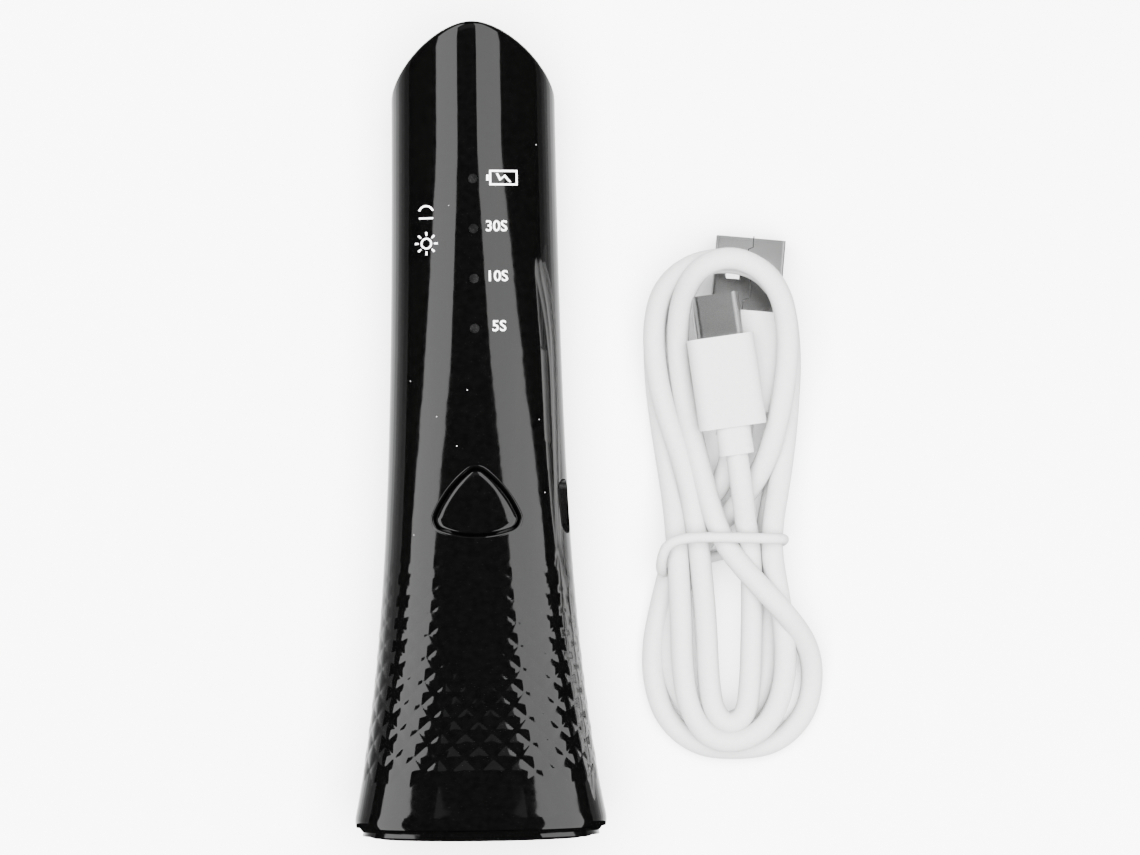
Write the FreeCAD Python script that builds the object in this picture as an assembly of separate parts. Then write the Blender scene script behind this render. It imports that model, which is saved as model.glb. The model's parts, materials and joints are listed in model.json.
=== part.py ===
import FreeCAD, Part
import math
import os

# Handheld UV LED nail lamp with its charging cable, in millimetres.
# The lamp lies on its ground back: +Y to the tip, +Z to the front with the button.
# The origin is at the middle of the lamp's length and width, on the surface it lies on.

V = FreeCAD.Vector
UP = V(0, 0, 1)

# ---- body ----
length = 140.0
head_half_width = 13.8
foot_extra_half_width = 8.6
head_depth_front = 13.0      # seam line up to the front, at the head
foot_extra_depth_front = 2.0
head_seam_height = 11.0
foot_extra_seam_height = 6.0
flare_length = 38.0          # the foot's flare fades by 1/e over this length
wall = 1.8
ground_depth = 0.8           # how much of the crowned back is ground flat
foot_round = 4.0
head_edge_round = 0.8
cut_angle = 45.0             # oblique head face to the lamp's axis
seam_gap = 0.1
cap_seam = 2.0               # height of the base cap's seam above the foot
station_pitch = 12.0         # distance between the sections of the loft

# ---- head stack, depths below the oblique face ----
bezel_depth = 0.4
bezel_width = 1.6
bezel_height = 3.2
lens_depth = 0.9
lens_thickness = 1.6
reflector_height = 4.2
reflector_wall = 1.0
led_board_thickness = 1.2
led_size = 3.5
led_height = 0.9
spreader_thickness = 3.0
fit_gap = 0.1

# ---- button and switch ----
button_centre_s = 56.3
button_side_centre = 5.35    # centres of the lower corner rounds from the axis
button_rise = 5.0            # upper corner centre above the middle
button_drop = 1.35           # lower corner centres below the middle
button_top_round = 2.0
button_low_round = 1.65
button_side_radius = 18.0
button_gap = 0.35
button_flange = 1.1
button_proud = 0.25
button_travel = 0.4
flange_thickness = 0.9
switch_size = 6.0
switch_height = 3.4
stem_radius = 1.7
stem_bore_gap = 0.08
touch_gap = 0.05

# ---- electronics ----
board_top = 17.6
board_thickness = 1.2
board_low_s = 46.0
board_step_s = 68.0
board_high_s = 116.6
board_wide_half = 11.6
board_slim_half = 6.4
indicator_s = (87.5, 96.05, 104.6, 113.15)
pipe_radius = 0.8
pipe_gap = 0.05
port_s = 56.9
port_shell_length = 8.94
port_shell_height = 3.16
port_shell_depth = 7.3
port_shell_wall = 0.3
port_gap = 0.2
cell_radius = 7.0
cell_length = 49.0
cell_low_s = 5.2
cell_gap = 0.25

# ---- screws ----
screw_radius = 1.0
screw_head_radius = 1.9
screw_head_height = 1.3
screw_clearance = 0.15
boss_radius = 2.6
boss_gap = 0.15
screw_seat_web = 2.0         # plastic between a screw's head and the split of its boss
shell_screws = ((11.0, 20.0), (9.4, 84.0))
shell_screw_length = 7.5
board_screws_s = (72.5, 108.9)
base_screw_x = 16.4

# ---- base pad ----
pad_inset = 8.6
pad_thickness = 1.0

# ---- cable ----
cable_diameter = 3.8
plug_c_shell = (8.34, 2.56, 7.4)
plug_c_body = (11.7, 6.0, 15.8)
plug_c_collar = (6.0, 4.8, 4.8)
plug_c_end = (44.9, -4.6, 11.2)
plug_c_turn = 7.5
plug_a_shell = (12.0, 4.5, 12.6)
plug_a_body = (14.8, 7.8, 17.3)
plug_a_collar = (6.4, 5.2, 4.7)
plug_a_end = (44.6, -1.5, 4.0)
plug_a_turn = -5.6
lead_c_route = ((44.9, -4.6, 11.2), (45.64, -10.2, 11.2), (46.3, -16.4, 8.9))
lead_a_route = ((44.6, -1.5, 4.0), (43.9, -8.64, 4.0), (45.4, -16.2, 4.0))
waist_face_y = -16.0
hank_height = 10.8
hank_outline = ((28.9, 17.3), (29.2, 5.2), (30.6, -5.2), (32.9, -14.5), (32.9, -22.5), (29.8, -32.0),
                (28.5, -40.6), (29.6, -47.5), (33.0, -53.2), (38.5, -56.6), (44.8, -57.7),
                (51.5, -56.6), (57.0, -51.8), (59.5, -44.9), (57.9, -36.3), (54.0, -26.4),
                (51.6, -22.0), (51.6, -14.5), (53.6, -5.2), (55.1, 5.2), (56.0, 10.5),
                (55.6, 16.2), (53.4, 24.9), (49.1, 29.7), (43.4, 31.1), (37.5, 29.5),
                (32.0, 26.8), (29.6, 22.0))
hank_top_hole = ((36.8, 0.0), (35.6, 12.0), (36.0, 19.5), (38.6, 25.0), (43.0, 27.4),
                 (47.6, 26.4), (51.0, 21.5), (52.4, 13.0), (51.6, 2.0))
hank_low_hole = ((42.1, -28.0), (41.9, -44.0), (44.0, -51.6), (45.2, -44.0), (45.2, -30.0))
tie_y = (-20.6, -18.5)
tie_outer = (31.3, 53.7)
tie_thickness = 1.6
tie_gap = 0.15

half = length / 2
tilt = math.radians(cut_angle)
tip_depth = head_edge_round * (1 / math.sin(tilt / 2) - 1)
sharp_tip_s = length + tip_depth


# ---- the body's section, s mm above the foot ----
def flare(s):
    return math.exp(-s / flare_length)


def half_width(s):
    return head_half_width + foot_extra_half_width * flare(s)


def front_depth(s):
    return head_depth_front + foot_extra_depth_front * flare(s)


def seam_height(s):
    return head_seam_height + foot_extra_seam_height * flare(s)


def front_height(s):
    return seam_height(s) + front_depth(s)


def profile(angle, corner, flank, crown):
    """A curve whose radius grows from corner at the side to corner + crown at the middle."""
    si, co = math.sin(angle), math.cos(angle)
    across = corner * si + 4 * flank * (si ** 3 / 3 - si ** 5 / 5)
    across += crown * (si - 2 * si ** 3 / 3 + si ** 5 / 5)
    drop = corner * (1 - co) + 4 * flank * (2 / 15 - co ** 3 / 3 + co ** 5 / 5)
    drop += crown * (1 - co ** 5) / 5
    return across, drop


def front_shape(s, angle):
    mix = flare(s)
    shape = (3.5 + 6.5 * mix, 16.9 - 15.8 * mix, 2.4 + 19.8 * mix)
    across, drop = profile(angle, *shape)
    full_across, full_drop = profile(math.pi / 2, *shape)
    return across / full_across, drop / full_drop


def rear_shape(s, angle):
    mix = flare(s)
    shape = (3.5 + 6.5 * mix, 13.3 - 3.9 * mix, 6.0 + 7.8 * mix)
    across, drop = profile(angle, *shape)
    full_across, full_drop = profile(math.pi / 2, *shape)
    return across / full_across, drop / full_drop


def rear_height(x, s):
    """Height of the rear surface at x."""
    low, high = 0.0, math.pi / 2
    for _ in range(30):
        angle = (low + high) / 2
        across, drop = rear_shape(s, angle)
        if across * half_width(s) < abs(x):
            low = angle
        else:
            high = angle
    return seam_height(s) - (1 - drop) * (seam_height(s) + ground_depth)


def section(s, inset):
    """The closed outline at s, made smaller by inset all round."""
    steps = 20
    wide = half_width(s) - inset
    up = front_depth(s) - inset
    down = seam_height(s) + ground_depth - inset
    front, rear = [], []
    for i in range(steps):
        angle = math.pi * (i / steps - 0.5)
        across, drop = front_shape(s, angle)
        front.append(V(across * wide, s - half, seam_height(s) + (1 - drop) * up))
        across, drop = rear_shape(s, -angle)
        rear.append(V(across * wide, s - half, seam_height(s) - (1 - drop) * down))
    curve = Part.BSplineCurve()
    spread = [i / (2 * steps) for i in range(2 * steps + 1)]
    points = rear[steps // 2:] + front + rear[:steps // 2]
    curve.interpolate(Points=points, PeriodicFlag=True, Parameters=spread)
    return Part.Wire(curve.toShape())


def body(inset, s_low=-1.0, s_high=length + 12.0):
    """The body between two stations, as one smooth loft."""
    steps = max(3, round((s_high - s_low) / station_pitch))
    stations = [s_low + (s_high - s_low) * i / steps for i in range(steps + 1)]
    return Part.makeLoft([section(s, inset) for s in stations], True, False)


# ---- shapes used all over ----
def box(x, y, z):
    return Part.makeBox(x[1] - x[0], y[1] - y[0], z[1] - z[0], V(x[0], y[0], z[0]))


def rod(x, y, z, radius):
    return Part.makeCylinder(radius, z[1] - z[0], V(x, y, z[0]))


def at(s):
    return s - half


def between(s_low, s_high, z_low=0.0, z_high=60.0):
    return box((-50, 50), (at(s_low), at(s_high)), (z_low, z_high))


face_turn = FreeCAD.Rotation(V(1, 0, 0), cut_angle - 180)
face_place = FreeCAD.Placement(V(0, at(sharp_tip_s), front_height(length)), face_turn)


def on_face(shape):
    """From the oblique face's own frame: y down the slope from the tip, z outwards."""
    moved = shape.copy()
    moved.Placement = face_place.multiply(moved.Placement)
    return moved


def slab(shallow, deep, y=(-20, 70)):
    return on_face(box((-50, 50), y, (-deep, -shallow)))


def stadium(long, short, depth, around=0.0):
    """A flat round-ended bar along Z, centred on the origin, long across X."""
    radius = short / 2 + around
    reach = (long - short) / 2
    bar = box((-reach, reach), (-radius, radius), (0, depth))
    for x in (-reach, reach):
        bar = bar.fuse(rod(x, 0, (0, depth), radius))
    return bar.removeSplitter()


def write(name, shape):
    solids = shape.Solids
    if not solids or not shape.isValid():
        raise RuntimeError(name + " is not a valid solid")
    out = solids[0] if len(solids) == 1 else Part.makeCompound(solids)
    out.exportStep("parts/" + name + ".step")
    print(name, len(solids), round(shape.Volume, 1))


def tube(points, radius):
    """Straight runs joined by tangent arcs, as large as the runs allow."""
    pts = [V(*p) for p in points]
    edges, start = [], pts[0]
    for a, b, c in zip(pts, pts[1:], pts[2:]):
        to_a, to_c = (a - b), (c - b)
        cut = 0.45 * min(to_a.Length, to_c.Length)
        to_a.normalize()
        to_c.normalize()
        turn = math.pi - math.acos(max(-1.0, min(1.0, to_a.dot(to_c))))
        arc = cut / math.tan(turn / 2)
        inward = (to_a + to_c).normalize()
        mid = b + inward * (arc / math.cos(turn / 2) - arc)
        first, last = b + to_a * cut, b + to_c * cut
        edges.append(Part.LineSegment(start, first).toShape())
        edges.append(Part.Arc(first, mid, last).toShape())
        print("  arc radius", round(arc, 1))
        start = last
    edges.append(Part.LineSegment(start, pts[-1]).toShape())
    path = Part.Wire(edges)
    ring = Part.Wire(Part.makeCircle(radius, pts[0], pts[1] - pts[0]))
    solid = path.makePipeShell([ring], True, False)
    print("  tube volume over section x length",
          round(solid.Volume / (math.pi * radius ** 2 * path.Length), 3))
    return solid


# ---- the outer body and its two shells ----
def outer_body():
    whole = body(0.0, 0.0)
    foot = [e for e in whole.Edges if e.BoundBox.YMax < at(0.0) + 0.01]
    whole = whole.makeFillet(foot_round, foot)
    whole = whole.cut(slab(-60, 0, (-60, 90)))
    whole = whole.cut(between(-5, length + 20, -10, 0))
    rim = [e for e in whole.Edges if on_rim(e)]
    return whole.makeFillet(head_edge_round, rim)


def on_rim(edge):
    """Edges of the oblique face, apart from the one along the flat back."""
    inverse = face_place.inverse()
    flat = all(abs(inverse.multVec(v.Point).z) < 0.01 for v in edge.Vertexes)
    return flat and edge.BoundBox.ZMax > 0.5


def seam_prism(gap):
    """Everything in front of the seam line."""
    points = [V(0, at(s), seam_height(s) + gap) for s in range(-8, int(length) + 17, 8)]
    curve = Part.BSplineCurve()
    curve.interpolate(points)
    top = [V(0, points[-1].y, 80), V(0, points[0].y, 80)]
    edges = [curve.toShape(), Part.makeLine(points[-1], top[0]), Part.makeLine(top[0], top[1]),
             Part.makeLine(top[1], points[0])]
    face = Part.Face(Part.Wire(edges))
    return face.extrude(V(100, 0, 0)).translated(V(-50, 0, 0))


def tangent_arc(one, two, radius):
    """The arc of a side that bulges over two corner circles, each (x, y, radius)."""
    x1, y1, r1 = one
    x2, y2, r2 = two
    d1, d2 = radius - r1, radius - r2
    apart = math.hypot(x2 - x1, y2 - y1)
    along = (d1 ** 2 - d2 ** 2 + apart ** 2) / (2 * apart)
    aside = math.sqrt(d1 ** 2 - along ** 2)
    ux, uy = (x2 - x1) / apart, (y2 - y1) / apart
    cx, cy = x1 + ux * along - uy * aside, y1 + uy * along + ux * aside
    points = []
    for x, y, r in (one, two):
        d = math.hypot(x - cx, y - cy)
        points.append((x + (x - cx) / d * r, y + (y - cy) / d * r))
    mx, my = (x1 + x2) / 2 - cx, (y1 + y2) / 2 - cy
    m = math.hypot(mx, my)
    points.insert(1, (cx + mx / m * radius, cy + my / m * radius))
    return points


def button_outline(grow, z_low, z_high):
    """The rounded triangle with slightly bulging sides, grown all round."""
    y = at(button_centre_s)
    corners = ((0, y + button_rise, button_top_round + grow),
               (-button_side_centre, y - button_drop, button_low_round + grow),
               (button_side_centre, y - button_drop, button_low_round + grow))
    sides = []
    for i in range(3):
        sides.append(tangent_arc(corners[i], corners[(i + 1) % 3], button_side_radius + grow))
    edges = []
    for i in range(3):
        start, mid, end = [V(px, py, z_low) for px, py in sides[i]]
        edges.append(Part.Arc(start, mid, end).toShape())
        following = V(*sides[(i + 1) % 3][0], z_low)
        cx, cy, r = corners[(i + 1) % 3]
        out = (end + following) * 0.5 - V(cx, cy, z_low)
        corner_mid = V(cx, cy, z_low) + out.normalize() * r
        edges.append(Part.Arc(end, corner_mid, following).toShape())
    return Part.Face(Part.Wire(edges)).extrude(V(0, 0, z_high - z_low))


def port_cut(around, depth):
    """The charging port's round-ended slot through the right-hand wall."""
    z = board_top - board_thickness - port_shell_height / 2
    bar = stadium(port_shell_length, port_shell_height, depth, around)
    turn = FreeCAD.Rotation(V(0, 1, 0), V(0, 0, 1), V(1, 0, 0), "ZXY")
    bar.Placement = FreeCAD.Placement(V(0, at(port_s), z), turn)
    return bar


port_mouth_x = half_width(port_s) - 0.35


def screw_places():
    """Each shell screw's x and y, its head's seat and the split of its boss."""
    for x, s in shell_screws:
        seat = max(rear_height(x + screw_head_radius, s), 0.0) + screw_head_height + 0.1
        for side in (-1, 1):
            yield side * x, at(s), seat, seat + screw_seat_web


def base_screw_height():
    return seam_height(cap_seam) + 2.2


def front_bosses():
    """Screw columns that hang from the front shell's inner face."""
    columns = [rod(x, y, (split, 40), boss_radius) for x, y, seat, split in screw_places()]
    columns += [rod(0, at(s), (board_top, 40), boss_radius - 0.6) for s in board_screws_s]
    for x in (-base_screw_x, base_screw_x):
        place = V(x, at(cap_seam), base_screw_height())
        columns.append(Part.makeCylinder(boss_radius, 9, place, V(0, 1, 0)))
    return columns


def front_cuts():
    cuts = []
    for x, y, seat, split in screw_places():
        cuts.append(rod(x, y, (0, seat + shell_screw_length + 1.0), screw_radius - 0.15))
    cuts += [rod(0, at(s), (board_top - 1, board_top + 4.2), screw_radius - 0.2)
             for s in board_screws_s]
    cuts += [rod(0, at(s), (board_top + 4, 40), pipe_radius + pipe_gap) for s in indicator_s]
    cuts += [button_outline(button_gap, board_top, 40), port_cut(port_gap, 40)]
    for x in (-base_screw_x, base_screw_x):
        place = V(x, at(cap_seam), base_screw_height())
        cuts.append(Part.makeCylinder(screw_radius - 0.15, 7, place, V(0, 1, 0)))
    return cuts


def shells(outer):
    hollow = body(wall)
    core = body(wall * 0.6)
    above_cap = outer.cut(between(-5, cap_seam))
    front_skin = above_cap.common(seam_prism(0.0)).cut(hollow)
    rear_skin = above_cap.cut(seam_prism(-seam_gap)).cut(hollow)
    columns = front_bosses()
    room = core.common(seam_prism(0.0)).fuse(body(wall + boss_gap))
    columns = columns[0].fuse(columns[1:]).common(room)
    front = front_skin.fuse(columns).cut(front_cuts())
    posts = [rod(x, y, (-1, split - boss_gap), boss_radius) for x, y, seat, split in screw_places()]
    posts = posts[0].fuse(posts[1:]).common(outer)
    holes = []
    for x, y, seat, split in screw_places():
        holes.append(rod(x, y, (-1, 20), screw_radius + screw_clearance))
        holes.append(rod(x, y, (-1, seat), screw_head_radius + screw_clearance))
    rear = rear_skin.fuse(posts).cut(holes + [port_cut(port_gap, 40)])
    return front, rear


def base_pieces(outer):
    z = base_screw_height()
    cap = outer.common(between(-1, cap_seam - seam_gap))
    rim = body(wall + fit_gap, -1.0, 6.0).cut(body(wall + 1.3, -2.0, 7.0))
    rim = rim.common(between(0.6, cap_seam + 1.5, 4.5, 28))
    pocket = body(pad_inset, -1.0, 5.0).common(between(-1, pad_thickness))
    pad = body(pad_inset + fit_gap, -1.0, 5.0).common(between(0, pad_thickness - 0.05))
    screws, cuts = [], [pocket]
    for x in (-base_screw_x, base_screw_x):
        for radius, low, high in ((screw_radius + screw_clearance, -1, 9),
                                  (screw_head_radius + screw_clearance, -1, 1.0),
                                  (boss_radius + 0.2, cap_seam - seam_gap, 12)):
            cuts.append(Part.makeCylinder(radius, high - low, V(x, at(low), z), V(0, 1, 0)))
        screws.append(screw(V(x, at(0.95), z), V(0, -1, 0), 6.5, 0.55))
    return cap.fuse(rim).cut(cuts), pad, Part.makeCompound(screws)


def screw(place, out, shank, head):
    """A pan-head screw whose head stands up along out from its seat at place."""
    body_ = Part.makeCylinder(screw_head_radius, head, place, out)
    thread = Part.makeCylinder(screw_radius - 0.2, shank, place, -out)
    slot = box((-0.3, 0.3), (-1.3, 1.3), (0, 0.6)).fuse(box((-1.3, 1.3), (-0.3, 0.3), (0, 0.6)))
    slot.Placement = FreeCAD.Placement(place + out * (head - 0.3), FreeCAD.Rotation(UP, out))
    return body_.fuse(thread).cut(slot)


# ---- the lamp head ----
def head_body(inset):
    return body(inset, 92.0, length + 12.0)


def led_places():
    return (0, 11.5), (-4.6, 18.0), (4.6, 18.0), (-4.2, 25.0), (4.2, 25.0)


def square_at(x, y, size, low, high):
    return box((x - size / 2, x + size / 2), (y - size / 2, y + size / 2), (low, high))


def head_pieces():
    inside = wall + fit_gap
    opening = inside + bezel_width
    seat = head_body(opening + fit_gap)
    bezel = head_body(inside).cut(head_body(opening))
    bezel = bezel.common(slab(bezel_depth, bezel_depth + bezel_height))
    lens = seat.common(slab(lens_depth, lens_depth + lens_thickness))
    top = lens_depth + lens_thickness + fit_gap
    floor = top + reflector_height
    bowl = head_body(opening + fit_gap + reflector_wall).common(slab(-1, floor - reflector_wall))
    board_face = floor + fit_gap
    board_back = board_face + led_board_thickness
    spreader_face = board_back + fit_gap
    plate = seat.common(slab(board_face, board_back))
    spreader = seat.common(slab(spreader_face, spreader_face + spreader_thickness))
    leds, holes = [], []
    for x, y in led_places():
        holes.append(on_face(square_at(x, y, led_size + 0.5, -board_face, -top)))
        base = square_at(x, y, led_size, -board_face, -board_face + led_height)
        dome = Part.makeSphere(1.3, V(x, y, -board_face + led_height - 0.3))
        dome = dome.common(square_at(x, y, 4, -board_face, 0))
        leds.append(on_face(base.fuse(dome)))
    tray = seat.common(slab(top, floor)).cut([bowl] + holes)
    grooves = []
    for y in (12.0, 16.0, 20.0, 24.0):
        groove = box((-30, 30), (y - 0.8, y + 0.8), (-spreader_face - 9, -spreader_face - 1.2))
        grooves.append(on_face(groove))
    return bezel, lens, tray, plate, spreader.cut(grooves), Part.makeCompound(leds)


# ---- button, switch and light pipes ----
def button_pieces():
    s_low, s_high = button_centre_s - 24, button_centre_s + 24
    low = switch_top() + touch_gap
    face = button_outline(0.0, board_top, 40).common(body(-button_proud, s_low, s_high))
    plate = button_outline(button_flange, board_top, 40)
    plate = plate.common(body(wall + 0.15, s_low, s_high))
    cap = face.fuse(plate).cut(body(wall + 0.15 + flange_thickness, s_low, s_high))
    post = rod(0, at(button_centre_s), (low, 40), 1.6).common(body(wall, s_low, s_high))
    cap = cap.fuse(post)
    return cap.removeSplitter()


def switch_top():
    return board_top + switch_height + 1.2


def switch_pieces():
    y = at(button_centre_s)
    side = switch_size / 2
    base = box((-side, side), (y - side, y + side), (board_top, board_top + switch_height - 0.4))
    base = base.cut(rod(0, y, (board_top + 1.2, 60), stem_radius + stem_bore_gap))
    cover = box((-side, side), (y - side, y + side), (board_top + switch_height - 0.4,
                                                      board_top + switch_height))
    cover = cover.cut(rod(0, y, (board_top, 60), stem_radius + stem_bore_gap))
    stem = rod(0, y, (board_top + 1.2 + button_travel + 0.2, switch_top()), stem_radius)
    return base, cover, stem


def light_pipes():
    outer = body(0.0)
    pipes = []
    bar = box((-2.3, 2.3), (at(indicator_s[0]) - 2.6, at(indicator_s[-1]) + 2.6),
              (board_top + 1.6, board_top + 3.4))
    for s in indicator_s:
        pipe = rod(0, at(s), (board_top + 1.0, 40), pipe_radius).common(outer)
        pipes.append(pipe)
        bar = bar.cut(rod(0, at(s), (board_top, 40), pipe_radius + pipe_gap))
    for s in indicator_s[:1] + indicator_s[-1:]:
        for x in (-1.6, 1.6):
            bar = bar.fuse(rod(x, at(s), (board_top, board_top + 2.2), 0.6))
    boss = rod(0, at(board_screws_s[1]), (board_top, 40), boss_radius - 0.3)
    return Part.makeCompound(pipes), bar.cut(boss)


# ---- electronics ----
def board():
    z = (board_top - board_thickness, board_top)
    wide = box((-board_wide_half, board_wide_half), (at(board_low_s), at(board_step_s)), z)
    slim = box((-board_slim_half, board_slim_half), (at(board_step_s), at(board_high_s)), z)
    plate = wide.fuse(slim).removeSplitter().common(body(wall + 0.4))
    for s in board_screws_s:
        plate = plate.cut(rod(0, at(s), (0, 40), screw_radius + screw_clearance))
    return plate


def chip(x, s, long, wide, high, top=True):
    """A chip with its rows of legs, on the board's top or underside."""
    z = (board_top, board_top + high) if top else (board_top - board_thickness - high,
                                                   board_top - board_thickness)
    y = at(s)
    part = box((x - wide / 2, x + wide / 2), (y - long / 2, y + long / 2), (z[0] + 0.1, z[1]))
    pins = max(2, int(long / 1.27))
    for i in range(pins):
        py = y - long / 2 + (i + 0.5) * long / pins
        part = part.fuse(box((x - wide / 2 - 0.8, x + wide / 2 + 0.8), (py - 0.2, py + 0.2),
                             (z[0], z[0] + 0.35)))
    return part


def port_pieces():
    depth = port_shell_depth
    shell = stadium(port_shell_length, port_shell_height, depth)
    hollow = stadium(port_shell_length - 2 * port_shell_wall, port_shell_height - 2 * port_shell_wall,
                     depth - 0.6).translated(V(0, 0, 0.6))
    shell = shell.cut(hollow)
    tongue = box((-3.3, 3.3), (-0.35, 0.35), (0.6, depth - 0.8))
    z = board_top - board_thickness - port_shell_height / 2
    turn = FreeCAD.Rotation(V(0, 1, 0), V(0, 0, 1), V(1, 0, 0), "ZXY")
    place = FreeCAD.Placement(V(port_mouth_x - depth, at(port_s), z), turn)
    shell.Placement = place
    tongue.Placement = place
    return shell, tongue


def cell_pieces():
    z = max(wall + cell_radius + cell_gap, board_top - board_thickness - cell_radius - cell_gap - 0.3)
    y = at(cell_low_s)
    can = Part.makeCylinder(cell_radius, cell_length, V(0, y, z), V(0, 1, 0))
    can = can.makeFillet(0.6, [e for e in can.Edges if e.Curve.TypeId == "Part::GeomCircle"])
    knob = Part.makeCylinder(2.7, 1.0, V(0, y + cell_length, z), V(0, 1, 0))
    pads = []
    for s in (14.0, 40.0):
        pad = box((-8.0, 8.0), (at(s), at(s) + 8.0), (0, z - 1)).common(body(wall + fit_gap))
        pads.append(pad.cut(Part.makeCylinder(cell_radius + cell_gap, 20, V(0, at(s) - 4, z), V(0, 1, 0))))
    return can, knob, pads, z


def socket(x, s, wide, way):
    """A wire socket whose mouth faces along Y by way, 1 or -1."""
    y = at(s)
    outer = box((x - wide / 2, x + wide / 2), (y - 1.8, y + 1.8), (board_top, board_top + 2.4))
    ends = sorted((y - way * 1.0, y + way * 2.5))
    return outer.cut(box((x - wide / 2 + 0.4, x + wide / 2 - 0.4), ends,
                         (board_top + 0.4, board_top + 2.1)))


# ---- cable ----
def plug_place(end, turn):
    return FreeCAD.Placement(V(*end), FreeCAD.Rotation(UP, turn))


def bar_along(wide, high, y_low, y_high, round_):
    """A bar along Y, centred on X and Z, with its four long edges rounded."""
    bar = box((-wide / 2, wide / 2), (y_low, y_high), (-high / 2, high / 2))
    edges = [e for e in bar.Edges if abs(e.BoundBox.YLength - (y_high - y_low)) < 0.001]
    return bar.makeFillet(round_, edges)


def plug_c():
    collar_y = plug_c_collar[2]
    body_y = collar_y + plug_c_body[2]
    tip_y = body_y + plug_c_shell[2]
    wide, high = plug_c_shell[:2]
    collar = bar_along(plug_c_collar[0], plug_c_collar[1], 0, collar_y, 2.0)
    mould = bar_along(plug_c_body[0], plug_c_body[1], collar_y, body_y, 2.4)
    shell = bar_along(wide, high, body_y, tip_y, high / 2 - 0.02)
    shell = shell.cut(bar_along(wide - 0.6, high - 0.6, body_y, tip_y + 1, high / 2 - 0.32))
    core = bar_along(wide - 0.7, high - 0.7, body_y, tip_y - 0.5, high / 2 - 0.37)
    core = core.cut(box((-3.4, 3.4), (body_y + 1.0, tip_y + 1), (-0.4, 0.4)))
    place = plug_place(plug_c_end, plug_c_turn)
    return [moved(shape, place) for shape in (collar, mould, shell, core)]


def plug_a():
    collar_y = plug_a_collar[2]
    body_y = collar_y + plug_a_body[2]
    tip_y = body_y + plug_a_shell[2]
    wide, high = plug_a_shell[:2]
    collar = bar_along(plug_a_collar[0], plug_a_collar[1], 0, collar_y, 2.2)
    mould = bar_along(plug_a_body[0], plug_a_body[1], collar_y, body_y, 2.2)
    shell = bar_along(wide, high, body_y, tip_y, 0.5)
    shell = shell.cut(bar_along(wide - 0.7, high - 0.7, body_y, tip_y + 1, 0.2))
    for x in (-2.9, 2.9):
        window = box((x - 1.1, x + 1.1), (body_y + 5.6, body_y + 7.6), (-9, 9))
        shell = shell.cut(window)
    core = box((-5.4, 5.4), (body_y, tip_y - 0.8), (0.0, 1.8))
    contacts = []
    for x in (-3.5, -1.0, 1.0, 3.5):
        bed = box((x - 0.55, x + 0.55), (body_y + 3, tip_y - 1.8), (0.0, 0.2))
        core = core.cut(bed)
        contacts.append(bed.translated(V(0, 0, 0)))
    place = plug_place(plug_a_end, plug_a_turn)
    pieces = [moved(shape, place) for shape in (collar, mould, shell, core)]
    return pieces + [moved(Part.makeCompound(contacts), place)]


def moved(shape, place):
    out = shape.copy()
    out.Placement = place.multiply(out.Placement)
    return out


def outline_prism(points, height, straight_bottom=None):
    pts = [V(x, y, 0) for x, y in points]
    curve = Part.BSplineCurve()
    if straight_bottom is None:
        curve.interpolate(pts, PeriodicFlag=True)
        wire = Part.Wire(curve.toShape())
    else:
        low = [V(pts[0].x, straight_bottom, 0), V(pts[-1].x, straight_bottom, 0)]
        curve.interpolate([low[0]] + pts + [low[1]])
        wire = Part.Wire([curve.toShape(), Part.makeLine(low[1], low[0])])
    return Part.Face(wire).extrude(V(0, 0, height))


def hank():
    solid = outline_prism(hank_outline, hank_height)
    solid = solid.cut(outline_prism(hank_top_hole, hank_height, waist_face_y))
    solid = solid.cut(outline_prism(hank_low_hole, hank_height))
    wide, high = plug_a_body[0] / 2 + 0.3, plug_a_body[1] / 2 + 0.3
    tall = plug_a_collar[2] + plug_a_body[2]
    notch = box((-wide, wide), (-1, tall + plug_a_shell[2] + 1), (-high - 5, high))
    solid = solid.cut(moved(notch, plug_place(plug_a_end, plug_a_turn)))
    grown = tie_gap + tie_thickness
    ring_band = (tie_y[0] - tie_gap, tie_y[1] + tie_gap)
    x_in = (tie_outer[0] + grown, tie_outer[1] - grown)
    groove = box((20, 70), ring_band, (-5, 30)).cut(box(x_in, ring_band, (grown, hank_height)))
    return solid.cut(groove)


def tie():
    x_in = (tie_outer[0] + tie_thickness, tie_outer[1] - tie_thickness)
    z_in = (tie_thickness, hank_height + tie_gap)
    ring = box(tie_outer, tie_y, (0, z_in[1] + tie_thickness))
    ring = ring.makeFillet(3.0, [e for e in ring.Edges if abs(e.BoundBox.YLength - (tie_y[1] - tie_y[0])) < 0.01])
    return ring.cut(box(x_in, (tie_y[0] - 1, tie_y[1] + 1), z_in))


def cable():
    held = hank()
    band = box((20, 70), (-60, waist_face_y), (-1, 30))
    lead_c = tube(lead_c_route, cable_diameter / 2).cut(band)
    lead_a = tube(lead_a_route, cable_diameter / 2).cut(band)
    write("cable_hank", held)
    write("cable_tie", tie())
    write("cable_lead_c", lead_c)
    write("cable_lead_a", lead_a)
    for name, shape in zip(("usb_c_collar", "usb_c_overmold", "usb_c_plug_shell", "usb_c_plug_core"),
                           plug_c()):
        write(name, shape)
    for name, shape in zip(("usb_a_collar", "usb_a_overmold", "usb_a_shell", "usb_a_core",
                            "usb_a_contacts"), plug_a()):
        write(name, shape)


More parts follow.
